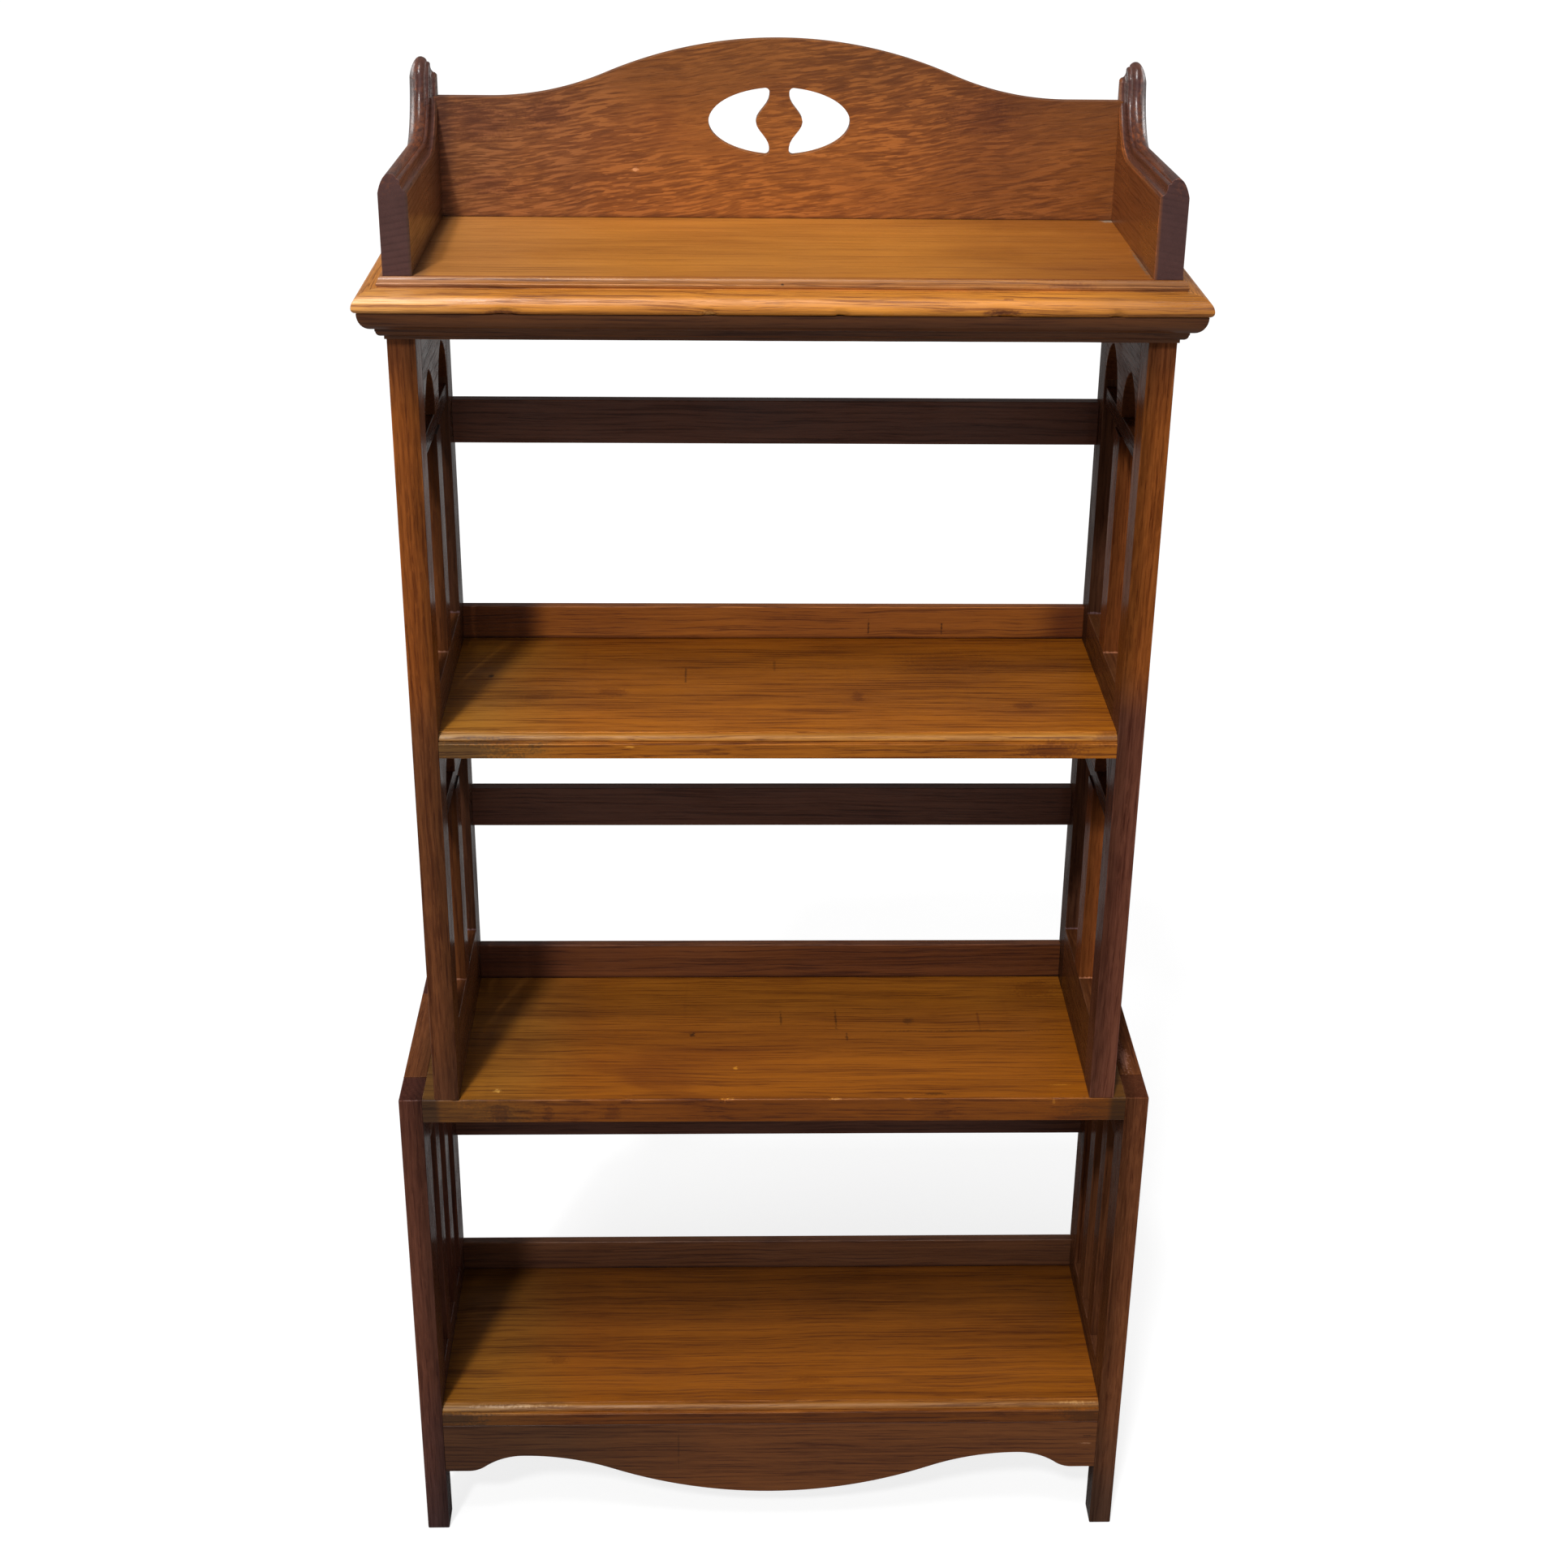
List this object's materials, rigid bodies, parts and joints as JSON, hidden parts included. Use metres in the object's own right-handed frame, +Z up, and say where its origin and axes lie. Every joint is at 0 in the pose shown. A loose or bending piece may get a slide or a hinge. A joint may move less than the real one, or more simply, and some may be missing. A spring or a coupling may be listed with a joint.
{
  "type": "open-front bookcase",
  "caption": "Tall open-front bookcase in oak: wide lower stage on square feet, narrower upper stage with arched slatted sides, moulded cornice and a pierced swept gallery.",
  "frame": {"origin": "on the floor, below the middle of the whole outline in width and depth", "axes": "+Z up; the open front faces -Y; +X to the right as seen from the front"},
  "size_m": [0.66, 0.2435, 1.3548],
  "materials": {
    "shelf_oak": "golden brown stained oak, satin varnish",
    "side_oak": "dark reddish brown stained oak, satin varnish",
    "rail_oak": "very dark stained oak, satin varnish",
    "moulding_oak": "worn brown stained oak, polished edges",
    "gallery_oak": "quarter-sawn brown stained oak, satin varnish",
    "beech": "bare beech dowel",
    "steel": "plain steel wood screw"
  },
  "bodies": {
    "root": {"left_lower_front_stile": "side_oak", "left_lower_rear_stile": "side_oak", "left_lower_top_rail": "side_oak", "left_lower_bottom_rail": "side_oak", "left_lower_slat_1": "side_oak", "left_lower_slat_2": "side_oak", "left_upper_front_stile": "side_oak", "left_upper_rear_stile": "side_oak", "left_upper_bottom_rail": "side_oak", "left_middle_bay_slat": "side_oak", "left_middle_bay_cross_rail": "side_oak", "left_middle_bay_arched_rail": "side_oak", "left_upper_bay_slat": "side_oak", "left_upper_bay_cross_rail": "side_oak", "left_upper_bay_arched_rail": "side_oak", "right_lower_front_stile": "side_oak", "right_lower_rear_stile": "side_oak", "right_lower_top_rail": "side_oak", "right_lower_bottom_rail": "side_oak", "right_lower_slat_1": "side_oak", "right_lower_slat_2": "side_oak", "right_upper_front_stile": "side_oak", "right_upper_rear_stile": "side_oak", "right_upper_bottom_rail": "side_oak", "right_middle_bay_slat": "side_oak", "right_middle_bay_cross_rail": "side_oak", "right_middle_bay_arched_rail": "side_oak", "right_upper_bay_slat": "side_oak", "right_upper_bay_cross_rail": "side_oak", "right_upper_bay_arched_rail": "side_oak", "lower_shelf": "shelf_oak", "middle_shelf": "shelf_oak", "upper_shelf": "shelf_oak", "top_board": "shelf_oak", "lower_shelf_lip": "shelf_oak", "middle_shelf_lip": "shelf_oak", "upper_shelf_lip": "shelf_oak", "lower_back_rail": "rail_oak", "middle_back_rail": "rail_oak", "upper_back_rail": "rail_oak", "apron": "side_oak", "cornice_front": "moulding_oak", "cornice_left_return": "moulding_oak", "cornice_right_return": "moulding_oak", "bed_moulding_front": "moulding_oak", "bed_moulding_left_return": "moulding_oak", "bed_moulding_right_return": "moulding_oak", "gallery_back": "gallery_oak", "left_gallery_end": "gallery_oak", "right_gallery_end": "gallery_oak", "left_front_dowel": "beech", "left_rear_dowel": "beech", "right_front_dowel": "beech", "right_rear_dowel": "beech", "left_front_gallery_screw": "steel", "left_rear_gallery_screw": "steel", "right_front_gallery_screw": "steel", "right_rear_gallery_screw": "steel"}
  },
  "joints": []
}
